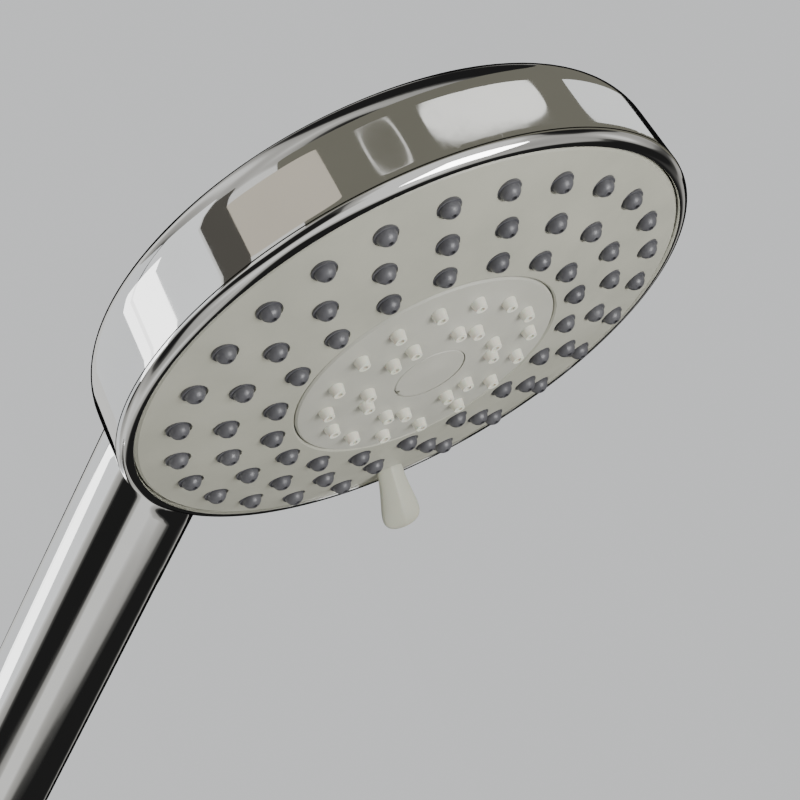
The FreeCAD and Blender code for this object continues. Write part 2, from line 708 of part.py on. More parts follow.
def make_turbine():
    """Half-shutter turbine that interrupts the paired jets as it spins on the hub."""
    low = size(on_sphere(MAT_SPHERE, "chamber_radius - 0.8")) + 0.5
    high = size("chamber_top - 1.6") - 0.4
    bore = size("hub_radius") + 0.08
    reach = size("chamber_radius") - 0.8
    hub = Part.makeCylinder(bore + 1.3, high - low, Vector(0, 0, low), UP)
    shutter = Part.makeCylinder(reach, 1.0, Vector(0, 0, low), UP, 180)
    ring = Part.makeCylinder(reach, 1.0, Vector(0, 0, high - 1.0), UP).cut(
        Part.makeCylinder(reach - 1.0, 1.0, Vector(0, 0, high - 1.0), UP))
    vane_count = 8
    pieces = [shutter, ring]
    for number in range(vane_count):
        vane = Part.makeBox(reach - bore - 1.0, 0.9, high - low, Vector(bore + 0.6, -0.45, low))
        vane.rotate(Vector(0, 0, 0), UP, 360.0 / vane_count * (number + 0.5))
        pieces.append(vane)
    rotor = hub.multiFuse(pieces).cut(Part.makeCylinder(bore, 30, Vector(0, 0, -15), UP))
    item = doc.addObject("Part::Feature", "turbine")
    item.Shape = rotor.removeSplitter()
    item.Label = "turbine"
    return item


def helix_spring(label, reach, angle, coil_radius, wire, low, high, turns):
    """Round-wire compression spring standing at a place round the axis."""
    helix = Part.makeHelix((high - low - wire * 2) / turns, high - low - wire * 2, coil_radius)
    helix.translate(Vector(0, 0, low + wire))
    circle = Part.Wire(Part.makeCircle(wire / 2, Vector(coil_radius, 0, low + wire), ACROSS))
    spring = Part.Wire(helix.Edges).makePipeShell([circle], True, True)
    item = doc.addObject("Part::Feature", label)
    item.Shape = spring
    item.Label = label
    angle = math.radians(angle)
    item.Placement = Placement(Vector(reach * math.cos(angle), reach * math.sin(angle), 0), Rotation())
    return item


def make_sprung_parts():
    """Seal cup over the inlet port and the click plunger, each with its spring."""
    bearing = "stack_top + valve_wall + running_gap"
    cup = new_body("seal_cup")
    turn(cup, "cup_turned", [
        ("2.2", bearing), ("seal_radius - 0.6", bearing), ("seal_radius", bearing + " + 0.6"),
        ("seal_radius", "13"), ("seal_radius - 1.2", "13"), ("seal_radius - 1.2", "10.6"),
        ("2.2", "10.6")], aside(size("seal_place"), 0))
    plunger = new_body("detent_plunger")
    turn(plunger, "plunger_turned", [
        ("0", bearing), ("plunger_radius * 0.4", bearing, "plunger_radius"),
        ("plunger_radius", bearing + " + 1.6"), ("plunger_radius", "13"),
        ("1.5", "13"), ("1.5", "10.8"), ("0", "10.8")], aside(size("detent_place"), 180))
    seal_spring = helix_spring("seal_spring", size("seal_place"), 0, 3.2, 0.7, 10.6, 16.5, 4)
    detent_spring = helix_spring("detent_spring", size("detent_place"), 180, 1.1, 0.4, 10.8, 17.0, 8)
    return [cup, plunger, seal_spring, detent_spring]


pieces = [
    make_back_shell(), make_bezel_ring(), make_diverter_body(), make_body_screws(),
    make_waterway_tube(), make_waterway_rings(), make_hose_connector(), make_face_plate(),
    make_outer_nozzle_mat(), make_centre_disc(), make_inner_nozzle_mat(), make_centre_cap(),
    make_distributor_plate(), make_swirl_plate(), make_valve_plate(), make_selector_lever(),
    make_turbine(),
]
pieces += make_handle_parts()
pieces += make_centre_parts()
pieces += make_sprung_parts()

doc.recompute()
for item in doc.Objects:
    if {"Invalid", "Error"} & set(item.State):
        raise RuntimeError("failed: %s %s" % (item.Label, item.State))
for piece in pieces:
    shape = piece.Shape
    if shape.isNull() or not shape.isValid() or shape.Volume <= 0:
        raise RuntimeError("bad shape: " + piece.Label)
    print("%-18s %9.2f mm3 %2d solid" % (piece.Label, shape.Volume, len(shape.Solids)))
    shape.exportStep("parts/%s.step" % piece.Label)
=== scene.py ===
import json
import math

import bmesh
import bpy
import numpy as np
from mathutils import Matrix, Quaternion, Vector


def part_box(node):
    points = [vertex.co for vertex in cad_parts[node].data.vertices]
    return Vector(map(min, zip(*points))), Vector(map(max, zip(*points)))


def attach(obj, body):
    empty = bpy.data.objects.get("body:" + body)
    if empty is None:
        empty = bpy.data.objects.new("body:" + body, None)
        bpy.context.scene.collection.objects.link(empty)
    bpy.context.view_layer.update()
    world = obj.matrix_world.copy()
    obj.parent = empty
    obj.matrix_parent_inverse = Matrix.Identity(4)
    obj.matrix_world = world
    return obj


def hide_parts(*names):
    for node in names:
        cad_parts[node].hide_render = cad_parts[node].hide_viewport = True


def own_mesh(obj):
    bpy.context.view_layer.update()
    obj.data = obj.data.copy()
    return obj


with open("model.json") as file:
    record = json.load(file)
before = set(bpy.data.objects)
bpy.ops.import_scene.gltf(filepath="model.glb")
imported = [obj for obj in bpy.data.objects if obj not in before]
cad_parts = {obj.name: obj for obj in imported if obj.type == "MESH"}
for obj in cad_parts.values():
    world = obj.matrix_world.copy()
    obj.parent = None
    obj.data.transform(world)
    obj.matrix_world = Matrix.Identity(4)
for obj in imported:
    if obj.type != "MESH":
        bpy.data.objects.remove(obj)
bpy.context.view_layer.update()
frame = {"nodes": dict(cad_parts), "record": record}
MM = 0.001

# Sizes are in millimetres and angles in degrees, unless a comment says otherwise. Meshes are drawn
# in millimetres and brought to metres when they are finished.


# ---- sizes taken from the frame ----
def corner(node, which, axis):
    """One coordinate of a node's box; which is 0 for the lowest corner and 1 for the highest."""
    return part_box(node)[which][axis] / MM


RIM_RADIUS = corner("bezel_ring", 1, 0)
FACE_RADIUS = corner("face_plate", 1, 0)
DOME_DEPTH = -corner("centre_cap", 0, 2)
BEZEL_LOW = corner("bezel_ring", 0, 2)
BEZEL_HIGH = corner("bezel_ring", 1, 2)
DOME_SPHERE = (FACE_RADIUS ** 2 + DOME_DEPTH ** 2) / (2 * DOME_DEPTH)
DOME_CENTRE = DOME_SPHERE - DOME_DEPTH

# ---- sizes of the shell, after the part's own ----
MOUTH = 2.1
BACK_DEPTH = 35.0
WALL_HEIGHT = 17.5
WALL_DRAFT = 1.0
BACK_EDGE = 3.0
NECK_HEIGHT = 25.0
NECK_START = -14.0
NECK_ROOT = 7.5
NECK_REACH = 37.0
# A hair under the part's, so that the neck's crest stays inside the CAD box.
NECK_RADIUS = 12.18
BEND_RADIUS = 50.0
# In radians.
HANDLE_SLOPE = math.radians(24.9)
HANDLE_LENGTH = 130.0
HANDLE_TIP = 11.0

# ---- sizes of the finished pieces ----
NECK_BLEND = 7.0
WALL_BLEND = 4.0
SKIN_VOXEL = 1.3
MOUTH_FLANGE = 1.8
# Inner size of the flange at the handle's end, as a share of the end.
END_FLANGE = 0.85
# The head's mouth is cut only this near to the axis, so that the handle keeps its whole length.
HEAD_SPAN = 67.0
HEAD_EDGE = 61.0
FACE_GAP = 0.3
LIP_ROLL = 2.45
SLEEVE_INSET = 1.9
LEVER_ANGLE = -45.0
LEVER_LEAN = 47.0
LEVER_SET_IN = 6.0
LEVER_BACK = 0.6
LEVER_ASIDE = 0.3
PEG_RADIUS = 2.2

# G 1/2 thread along the connector, measured from the handle's end.
THREAD_MAJOR = 10.47
THREAD_MINOR = 9.36
THREAD_PITCH = 1.814
THREAD_START = 2.7
THREAD_END = 10.3

BEND_CENTRE = np.array([NECK_REACH, 0.0, NECK_HEIGHT - BEND_RADIUS])
HANDLE_START = BEND_CENTRE + BEND_RADIUS * np.array([math.sin(HANDLE_SLOPE), 0.0, math.cos(HANDLE_SLOPE)])
HANDLE_WAY = np.array([math.cos(HANDLE_SLOPE), 0.0, -math.sin(HANDLE_SLOPE)])
HANDLE_END = HANDLE_START + HANDLE_WAY * HANDLE_LENGTH

# Camera and its target in metres; the sensor is the usual 36 mm.
CAMERA_PLACE = (-0.16253, 0.34062, -0.16454)
CAMERA_TARGET = (0.01615, -0.01582, 0.0)
CAMERA_ROLL = -28.7745
CAMERA_LENS = 97.65


def dome_height(reach):
    """Height of the face's dome at a distance from the axis."""
    return DOME_CENTRE - math.sqrt(DOME_SPHERE ** 2 - reach ** 2)


# ---- camera, light and room ----
def make_camera():
    """Looks up at the face from below, with the handle leaving to the lower left."""
    data = bpy.data.cameras.new("camera")
    data.sensor_width = 36.0
    data.lens = CAMERA_LENS
    data.clip_start = 0.01
    camera = bpy.data.objects.new("camera", data)
    bpy.context.scene.collection.objects.link(camera)
    aim = (Vector(CAMERA_TARGET) - Vector(CAMERA_PLACE)).to_track_quat("-Z", "Y")
    roll = Quaternion((0, 0, 1), math.radians(CAMERA_ROLL))
    camera.matrix_world = Matrix.LocRotScale(Vector(CAMERA_PLACE), aim @ roll, None)
    bpy.context.scene.camera = camera


def area_light(name, place, target, size, power, mirrored=True):
    """Soft rectangular light; places and sizes in metres, power in watts."""
    data = bpy.data.lights.new(name, "AREA")
    data.shape = "RECTANGLE"
    data.size, data.size_y = size
    data.energy = power
    light = bpy.data.objects.new(name, data)
    light.location = place
    light.rotation_euler = (Vector(target) - Vector(place)).to_track_quat("-Z", "Y").to_euler()
    light.visible_glossy = mirrored
    bpy.context.scene.collection.objects.link(light)


def card(name, azimuth, span, tall, away, rounding, shade):
    """A glowing or black curved card that only reflections see.

    It stands round the head where the wall mirrors it; rounding is the superellipse power of
    its outline, 2 for an ellipse and large for nearly square corners.
    """
    def spot(turn, lift):
        turn += azimuth
        fall = WALL_MIRROR_FALL * (turn - WALL_MIRROR_TOP) ** 2
        rise = math.radians(WALL_MIRROR_RISE - fall + lift)
        turn = math.radians(turn)
        flat = away * math.cos(rise)
        return (flat * math.cos(turn), flat * math.sin(turn), away * math.sin(rise))

    rows, columns = 4, 48
    places = []
    for row in range(rows + 1):
        level = -1 + 2 * row / rows
        for column in range(columns + 1):
            turn = -math.cos(math.pi * column / columns)
            half = (1 - abs(turn) ** rounding) ** (1 / rounding)
            places.append(spot(turn * span / 2, level * half * tall / 2))
    faces = [(row * (columns + 1) + column, row * (columns + 1) + column + 1,
              (row + 1) * (columns + 1) + column + 1, (row + 1) * (columns + 1) + column)
             for row in range(rows) for column in range(columns)]
    mesh = bpy.data.meshes.new(name)
    mesh.from_pydata(places, [], faces)
    item = bpy.data.objects.new(name, mesh)
    bpy.context.scene.collection.objects.link(item)
    item.visible_camera = False
    item.visible_shadow = False
    item.visible_diffuse = False
    mesh.materials.append(glow(name, shade))


def plain_stage(name, shade):
    """Matt, nearly neutral material for the floor."""
    material = bpy.data.materials.new(name)
    material.use_nodes = True
    shader = material.node_tree.nodes["Principled BSDF"]
    shader.inputs["Base Color"].default_value = (shade, shade, shade * 0.985, 1)
    shader.inputs["Roughness"].default_value = 0.8
    return material


def glow(name, shade):
    """A surface that only glows, or is black, and reflects nothing."""
    material = bpy.data.materials.new(name)
    material.use_nodes = True
    shader = material.node_tree.nodes["Principled BSDF"]
    shader.inputs["Base Color"].default_value = (0, 0, 0, 1)
    shader.inputs["Roughness"].default_value = 1.0
    shader.inputs["Specular IOR Level"].default_value = 0.0
    shader.inputs["Emission Color"].default_value = (*shade, 1)
    shader.inputs["Emission Strength"].default_value = 1.0
    return material


# Rise in degrees at which the head's wall mirrors the room, highest at one azimuth.
WALL_MIRROR_RISE = 34.8
WALL_MIRROR_FALL = 0.00036
WALL_MIRROR_TOP = 115.0

# Cards seen only in the chrome: azimuth, span and height in degrees, distance in metres,
# power of the outline, brightness.
CARDS = [
    ("card_black_left", -52, 34, 60, 1.3, 20, (0.004, 0.004, 0.004)),
    ("card_white_low", 3, 43, 50, 1.3, 20, (0.86, 0.88, 0.90)),
    ("card_white_side", 46.5, 40, 50, 1.3, 20, (1.0, 1.02, 1.04)),
    ("card_slot", 74, 13, 40, 1.3, 20, (0.09, 0.085, 0.075)),
    ("card_cream", 98, 42, 6.0, 1.35, 3.2, (0.62, 0.57, 0.48)),
    ("card_olive", 184, 162, 34, 1.6, 20, (0.17, 0.165, 0.135)),
    ("card_loop_rim", 141, 14.5, 2.4, 1.45, 2.4, (0.85, 0.84, 0.8)),
    ("card_loop_middle", 141, 12.8, 2.05, 1.4, 2.4, (0.17, 0.165, 0.135)),
    ("card_white_blob", 183, 50, 2.1, 1.3, 2.8, (1.25, 1.25, 1.2)),
    ("card_white_far", 244, 40, 2.8, 1.3, 4, (0.95, 0.97, 0.97)),
    ("card_black_far", 287, 46, 60, 1.3, 20, (0.006, 0.006, 0.006)),
]


def make_sky():
    """Pale backdrop all round, seen by the camera only."""
    mesh = bpy.data.meshes.new("backdrop")
    bm = bmesh.new()
    bmesh.ops.create_uvsphere(bm, u_segments=48, v_segments=24, radius=8.0)
    bm.to_mesh(mesh)
    bm.free()
    material = bpy.data.materials.new("backdrop")
    material.use_nodes = True
    shader = material.node_tree.nodes["Principled BSDF"]
    shader.inputs["Base Color"].default_value = (0, 0, 0, 1)
    shader.inputs["Emission Color"].default_value = (0.70, 0.71, 0.72, 1)
    shader.inputs["Emission Strength"].default_value = 1.0
    mesh.materials.append(material)
    sky = bpy.data.objects.new("backdrop", mesh)
    bpy.context.scene.collection.objects.link(sky)
    sky.visible_diffuse = False
    sky.visible_glossy = False
    sky.visible_shadow = False


def make_world():
    """Studio surroundings for the reflections: large soft patches, pale and dark."""
    world = bpy.data.worlds.new("room")
    bpy.context.scene.world = world
    world.use_nodes = True
    tree = world.node_tree
    place = tree.nodes.new("ShaderNodeTexCoord")
    noise = tree.nodes.new("ShaderNodeTexNoise")
    noise.inputs["Scale"].default_value = 1.15
    noise.inputs["Detail"].default_value = 0.5
    noise.inputs["Distortion"].default_value = 0.4
    ramp = tree.nodes.new("ShaderNodeValToRGB")
    stops = [(0.40, 0.02), (0.445, 0.10), (0.47, 0.42), (0.55, 0.62), (0.60, 1.0)]
    ramp.color_ramp.elements[0].position = stops[0][0]
    ramp.color_ramp.elements[0].color = (stops[0][1],) * 3 + (1,)
    ramp.color_ramp.elements[1].position = stops[-1][0]
    ramp.color_ramp.elements[1].color = (stops[-1][1], stops[-1][1], stops[-1][1] * 0.98, 1)
    for position, shade in stops[1:-1]:
        element = ramp.color_ramp.elements.new(position)
        element.color = (shade, shade * 0.985, shade * 0.94, 1)
    tree.links.new(place.outputs["Generated"], noise.inputs["Vector"])
    tree.links.new(noise.outputs["Fac"], ramp.inputs["Fac"])
    tree.links.new(ramp.outputs["Color"], tree.nodes["Background"].inputs["Color"])
    tree.nodes["Background"].inputs["Strength"].default_value = 0.8


def make_room():
    """Pale floor and backdrop, the reflections, and four soft lights."""
    mesh = bpy.data.meshes.new("floor")
    reach, low = 9.0, -0.9
    mesh.from_pydata([(-reach, -reach, low), (reach, -reach, low), (reach, reach, low),
                      (-reach, reach, low)], [], [(0, 1, 2, 3)])
    mesh.materials.append(plain_stage("floor", 0.92))
    floor = bpy.data.objects.new("floor", mesh)
    bpy.context.scene.collection.objects.link(floor)
    floor.visible_glossy = False
    make_sky()
    make_world()
    for entry in CARDS:
        card(*entry)
    area_light("key", (-0.55, 0.55, 0.35), (0, 0, 0), (0.5, 0.35), 6, False)
    area_light("front", (-0.52, 0.06, -0.55), (0, 0, 0), (0.4, 0.4), 5.4)
    area_light("side", (0.55, 0.35, 0.25), (0.05, 0, 0), (0.25, 0.5), 1)
    area_light("back", (0.1, -0.7, 0.5), (0, 0, 0), (0.6, 0.4), 5, False)


# ---- materials ----
class Nodes:
    """Short calls for building one material's node tree."""

    def __init__(self, name):
        self.material = bpy.data.materials.new(name)
        self.material.use_nodes = True
        self.tree = self.material.node_tree
        self.shader = self.tree.nodes["Principled BSDF"]
        self.place = self.add("ShaderNodeTexCoord").outputs["Object"]

    def add(self, kind, **settings):
        node = self.tree.nodes.new(kind)
        for key, value in settings.items():
            setattr(node, key, value)
        return node

    def link(self, source, target):
        self.tree.links.new(source, target)

    def noise(self, scale, detail=3.0, roughness=0.55):
        node = self.add("ShaderNodeTexNoise")
        node.inputs["Scale"].default_value = scale
        node.inputs["Detail"].default_value = detail
        node.inputs["Roughness"].default_value = roughness
        self.link(self.place, node.inputs["Vector"])
        return node.outputs["Fac"]

    def spread(self, source, low, high, start=0.3, end=0.7):
        node = self.add("ShaderNodeMapRange")
        node.inputs["From Min"].default_value = start
        node.inputs["From Max"].default_value = end
        node.inputs["To Min"].default_value = low
        node.inputs["To Max"].default_value = high
        self.link(source, node.inputs["Value"])
        return node.outputs["Result"]

    def tint(self, source, dark, light):
        node = self.add("ShaderNodeMix", data_type="RGBA")
        node.inputs["A"].default_value = (*dark, 1)
        node.inputs["B"].default_value = (*light, 1)
        self.link(source, node.inputs["Factor"])
        self.link(node.outputs["Result"], self.shader.inputs["Base Color"])

    def bump(self, source, strength, distance):
        node = self.add("ShaderNodeBump")
        node.inputs["Strength"].default_value = strength
        node.inputs["Distance"].default_value = distance
        self.link(source, node.inputs["Height"])
        self.link(node.outputs["Normal"], self.shader.inputs["Normal"])

    def rough(self, source):
        self.link(source, self.shader.inputs["Roughness"])

    def set(self, **values):
        for key, value in values.items():
            self.shader.inputs[key.replace("_", " ")].default_value = value


def chrome(name, smudge=0.05):
    """Plated plastic: near mirror, with faint wipe marks and water haze."""
    nodes = Nodes(name)
    nodes.set(Metallic=1.0)
    nodes.tint(nodes.spread(nodes.noise(35, 4), 0, 1), (0.86, 0.86, 0.85), (0.93, 0.93, 0.92))
    nodes.rough(nodes.spread(nodes.noise(90, 6, 0.7), 0.03, 0.03 + smudge, 0.45, 0.75))
    nodes.bump(nodes.noise(28, 2), 0.035, 0.0004)
    return nodes.material


def moulded(name, dark, light, roughness=0.42, grain=0.05, specular=0.5, soft=0.0):
    """Moulded plastic or silicone: slight mottling, fine spark grain and uneven gloss."""
    nodes = Nodes(name)
    nodes.tint(nodes.spread(nodes.noise(60, 5), 0, 1), dark, light)
    nodes.rough(nodes.spread(nodes.noise(140, 5, 0.65), roughness - 0.06, roughness + 0.09))
    nodes.bump(nodes.noise(2600, 2), grain, 0.00008)
    nodes.shader.inputs["Specular IOR Level"].default_value = specular
    nodes.shader.inputs["Subsurface Weight"].default_value = soft
    nodes.shader.inputs["Subsurface Scale"].default_value = 0.002
    return nodes.material


def steel(name, shade):
    """Bare or plated metal with a fine brushed grain."""
    nodes = Nodes(name)
    nodes.set(Metallic=1.0)
    nodes.tint(nodes.spread(nodes.noise(300, 3), 0, 1), (shade * 0.85,) * 3, (shade,) * 3)
    nodes.rough(nodes.spread(nodes.noise(900, 3), 0.2, 0.36))
    nodes.bump(nodes.noise(1800, 2), 0.05, 0.00005)
    return nodes.material


MATERIALS = {
    "chrome_shell": chrome("chrome_shell"),
    "chrome_bezel": chrome("chrome_bezel", 0.03),
    "chrome_trim": chrome("chrome_trim", 0.06),
    "connector_metal": steel("connector_metal", 0.74),
    "inner_plastic": moulded("inner_plastic", (0.66, 0.66, 0.63), (0.78, 0.78, 0.75)),
    "valve_plastic": moulded("valve_plastic", (0.8, 0.8, 0.77), (0.88, 0.88, 0.86), 0.32),
    "tube_plastic": moulded("tube_plastic", (0.7, 0.7, 0.67), (0.8, 0.8, 0.78)),
    "black_rubber": moulded("black_rubber", (0.012, 0.012, 0.012), (0.03, 0.03, 0.03), 0.55),
    "regulator_plastic": moulded("regulator_plastic", (0.03, 0.13, 0.3), (0.05, 0.19, 0.4), 0.35),
    "screen_steel": steel("screen_steel", 0.6),
    "screw_steel": steel("screw_steel", 0.66),
    "spring_steel": steel("spring_steel", 0.55),
    "turbine_plastic": moulded("turbine_plastic", (0.5, 0.52, 0.53), (0.62, 0.63, 0.64), 0.35),
    "face_plastic": moulded("face_plastic", (0.40, 0.40, 0.335), (0.46, 0.457, 0.385), 0.44, 0.07),
    "lever_plastic": moulded("lever_plastic", (0.45, 0.455, 0.37), (0.51, 0.515, 0.425), 0.38, 0.04,
                             soft=0.05),
    "grey_silicone": moulded("grey_silicone", (0.075, 0.075, 0.085), (0.11, 0.11, 0.12), 0.36, 0.05,
                             specular=0.6),
    "disc_plastic": moulded("disc_plastic", (0.44, 0.44, 0.385), (0.50, 0.495, 0.44), 0.46, 0.12),
    "ivory_silicone": moulded("ivory_silicone", (0.80, 0.785, 0.67), (0.88, 0.865, 0.76), 0.38, 0.04,
                              soft=0.1),
}
BODY_OF = {node: body for body, nodes in frame["record"]["behaviour"]["bodies"].items() for node in nodes}
SLOT_OF = {part["node"]: part["material_slot"] for part in frame["record"]["subparts"]}


def dress(item, slot):
    """Gives a piece the material of its slot."""
    item.data.materials.clear()
    item.data.materials.append(MATERIALS[slot])


def stand_in(name, mesh, node):
    """A finished piece that takes a CAD node's place, body and material slot."""
    item = bpy.data.objects.new(name, mesh)
    bpy.context.scene.collection.objects.link(item)
    dress(item, SLOT_OF[node])
    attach(item, BODY_OF[node])
    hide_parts(node)
    return item


# ---- back shell: one flowing surface for head, neck and handle ----
def smooth_low(first, second, width):
    """Lower of two distances, blended over a width, which fills an inner corner."""
    mix = np.clip(0.5 + 0.5 * (second - first) / width, 0, 1)
    return second * (1 - mix) + first * mix - width * mix * (1 - mix)


def head_distance(points):
    """Distance of points from the head: drafted wall and domed back, with a rounded edge."""
    reach = np.hypot(points[:, 0], points[:, 1])
    height = points[:, 2]
    rise = np.clip((height - MOUTH) / (WALL_HEIGHT - MOUTH), 0, 2)
    wall = reach - (RIM_RADIUS - WALL_DRAFT * rise)
    edge = RIM_RADIUS - WALL_DRAFT - BACK_EDGE
    sagitta = BACK_DEPTH - WALL_HEIGHT - BACK_EDGE
    ball = (edge ** 2 + sagitta ** 2) / (2 * sagitta)
    dome = np.sqrt(reach ** 2 + (height - BACK_DEPTH + ball) ** 2) - ball
    return -smooth_low(-wall, -dome, WALL_BLEND)


def neck_distance(points):
    """Distance of points from the neck and handle: level cone, bend and sloping cone."""
    overrun = 1.2

    def to_cone(start, way, length, first, last):
        offset = points - start
        along = np.clip(offset @ way, 0, length)
        away = np.linalg.norm(offset - along[:, None] * way, axis=1)
        return away - (first + (last - first) * along / length)

    level = to_cone(np.array([NECK_START, 0, NECK_HEIGHT]), np.array([1.0, 0, 0]),
                    NECK_REACH - NECK_START, NECK_ROOT, NECK_RADIUS)
    straight = to_cone(HANDLE_START, HANDLE_WAY, HANDLE_LENGTH * overrun, NECK_RADIUS,
                       NECK_RADIUS + (HANDLE_TIP - NECK_RADIUS) * overrun)
    offset = points - BEND_CENTRE
    turn = np.clip(np.arctan2(offset[:, 0], offset[:, 2]), 0, HANDLE_SLOPE)
    on_arc = BEND_RADIUS * np.stack([np.sin(turn), 0 * turn, np.cos(turn)], axis=1)
    bend = np.linalg.norm(offset - on_arc, axis=1) - NECK_RADIUS
    return np.minimum(np.minimum(level, straight), bend)


def shell_distance(points):
    return smooth_low(head_distance(points), neck_distance(points), NECK_BLEND)


def slope_of(field, points, step=0.02):
    """Gradient of a distance field at points, by small steps either way."""
    parts = []
    for axis in range(3):
        nudge = np.zeros(3)
        nudge[axis] = step
        parts.append((field(points + nudge) - field(points - nudge)) / (2 * step))
    return np.stack(parts, axis=1)


def settle(field, points, rounds=6):
    """Moves points along the field's slope until they lie on its surface."""
    for _ in range(rounds):
        slope = slope_of(field, points)
        points = points - field(points)[:, None] * slope / np.maximum((slope ** 2).sum(1), 0.2)[:, None]
    return points


def rough_shell():
    """Head and handle as two simple overlapping forms, a little long at the mouth and the end."""
    bm = bmesh.new()
    low = MOUTH - 6
    spin_profile(bm, [(0.0, low), (RIM_RADIUS, low), (RIM_RADIUS - 0.5, WALL_HEIGHT), (54, 22),
                      (30, 31), (0.0, BACK_DEPTH)], 96)
    path = [np.array([NECK_START, 0, NECK_HEIGHT]), np.array([NECK_REACH, 0, NECK_HEIGHT])]
    path += [BEND_CENTRE + BEND_RADIUS * np.array([math.sin(a), 0, math.cos(a)])
             for a in np.linspace(0, HANDLE_SLOPE, 6)[1:]]
    path.append(HANDLE_END + HANDLE_WAY * 6)
    tube(bm, path, [NECK_ROOT] + [NECK_RADIUS] * 6 + [HANDLE_TIP], 32)
    mesh = bpy.data.meshes.new("back_shell_skin")
    for vertex in bm.verts:
        vertex.co *= MM
    bm.to_mesh(mesh)
    bm.free()
    return mesh


def wrap(mesh):
    """One even, closed skin round a rough form."""
    item = bpy.data.objects.new("shell_form", mesh)
    bpy.context.scene.collection.objects.link(item)
    remesh = item.modifiers.new("wrap", "REMESH")
    remesh.mode = "VOXEL"
    remesh.voxel_size = SKIN_VOXEL * MM
    smooth = item.modifiers.new("relax", "SMOOTH")
    smooth.iterations = 6
    depsgraph = bpy.context.evaluated_depsgraph_get()
    skin = bpy.data.meshes.new_from_object(item.evaluated_get(depsgraph))
    bpy.data.objects.remove(item)
    return skin


def vertex_places(mesh):
    """A mesh's vertices as an array of points in millimetres."""
    points = np.empty(len(mesh.vertices) * 3)
    mesh.vertices.foreach_get("co", points)
    return points.reshape(-1, 3) / MM


def lay_on_surface(skin):
    """Settles a skin on the blended surface, apart from the waste below the mouth."""
    points = vertex_places(skin)
    waste = points[:, 2] < MOUTH - 3
    settled = settle(shell_distance, points)
    settled[waste] = points[waste]
    skin.vertices.foreach_set("co", (settled * MM).ravel())


def trim(bm):
    """Cuts the skin off at the handle's end and at the head's mouth."""
    bmesh.ops.bisect_plane(bm, geom=bm.verts[:] + bm.edges[:] + bm.faces[:], clear_outer=True,
                           plane_co=Vector(HANDLE_END) * MM, plane_no=Vector(HANDLE_WAY))
    head = [face for face in bm.faces if face.calc_center_median().x < HEAD_SPAN * MM]
    corners = dict.fromkeys(vertex for face in head for vertex in face.verts)
    edges = dict.fromkeys(edge for face in head for edge in face.edges)
    bmesh.ops.bisect_plane(bm, geom=list(corners) + list(edges) + head, clear_outer=True,
                           plane_co=(0, 0, MOUTH * MM), plane_no=(0, 0, -1))
    bm.normal_update()


def round_at_mouth(vertex, radius):
    """Where a vertex of the mouth's edge goes to lie on a circle round the axis."""
    flat = Vector((vertex.co.x, vertex.co.y, 0)).normalized() * radius * MM
    return flat.x, flat.y


def turn_in(bm):
    """Trues the mouth's edge, and turns a narrow flange inwards from both open edges."""
    rims = [edge for edge in bm.edges if edge.is_boundary]
    for vertex in dict.fromkeys(vertex for edge in rims for vertex in edge.verts):
        if abs(vertex.co.z - MOUTH * MM) < 0.02 * MM and vertex.co.x < HEAD_EDGE * MM:
            vertex.co.x, vertex.co.y = round_at_mouth(vertex, RIM_RADIUS)
    grown = bmesh.ops.extrude_edge_only(bm, edges=rims)["geom"]
    centre = Vector(HANDLE_END) * MM
    for vertex in [part for part in grown if isinstance(part, bmesh.types.BMVert)]:
        if vertex.co.x < HEAD_EDGE * MM and vertex.co.z < (MOUTH + 1) * MM:
            vertex.co.x, vertex.co.y = round_at_mouth(vertex, RIM_RADIUS - MOUTH_FLANGE)
            vertex.co.z = MOUTH * MM
        else:
            vertex.co = centre + (vertex.co - centre) * END_FLANGE


def shade_from_field(skin, outside):
    """Smooth shading straight from the surface's own slope; the flanges keep flat normals."""
    normals = slope_of(shell_distance, vertex_places(skin))
    normals /= np.linalg.norm(normals, axis=1)[:, None]
    corner_normals = []
    for polygon, is_outside in zip(skin.polygons, outside):
        polygon.use_smooth = True
        for vertex in polygon.vertices:
            corner_normals.append(tuple(normals[vertex]) if is_outside else tuple(polygon.normal))
    skin.normals_split_custom_set(corner_normals)


def make_shell():
    """Head back, neck and handle: an even skin settled on the blended surface, then trimmed."""
    form = wrap(rough_shell())
    lay_on_surface(form)
    bm = bmesh.new()
    bm.from_mesh(form)
    trim(bm)
    outer_faces = set(bm.faces)
    turn_in(bm)
    outside = [face in outer_faces for face in bm.faces]
    skin = bpy.data.meshes.new("back_shell_skin")
    bm.to_mesh(skin)
    bm.free()
    shade_from_field(skin, outside)
    return stand_in("back_shell_skin", skin, "back_shell")


# ---- drawing with rings of points ----
def bridge(bm, first, second):
    """Faces between two rings with the same number of points."""
    count = len(first)
    for k in range(count):
        following = (k + 1) % count
        bm.faces.new((first[k], first[following], second[following], second[k]))


def spin_profile(bm, outline, segments, closed=False):
    """Lathe an outline of (reach, height) points round Z."""
    rings = []
    for reach, height in outline:
        if reach < 1e-6:
            rings.append([bm.verts.new((0, 0, height))])
            continue
        rings.append([bm.verts.new((reach * math.cos(2 * math.pi * k / segments),
                                    reach * math.sin(2 * math.pi * k / segments), height))
                      for k in range(segments)])
    pairs = list(zip(rings, rings[1:]))
    if closed:
        pairs.append((rings[-1], rings[0]))
    for low, high in pairs:
        if len(low) > 1 and len(high) > 1:
            bridge(bm, low, high)
            continue
        for k in range(segments):
            following = (k + 1) % segments
            if len(low) == 1:
                bm.faces.new((low[0], high[following], high[k]))
            else:
                bm.faces.new((low[k], low[following], high[0]))


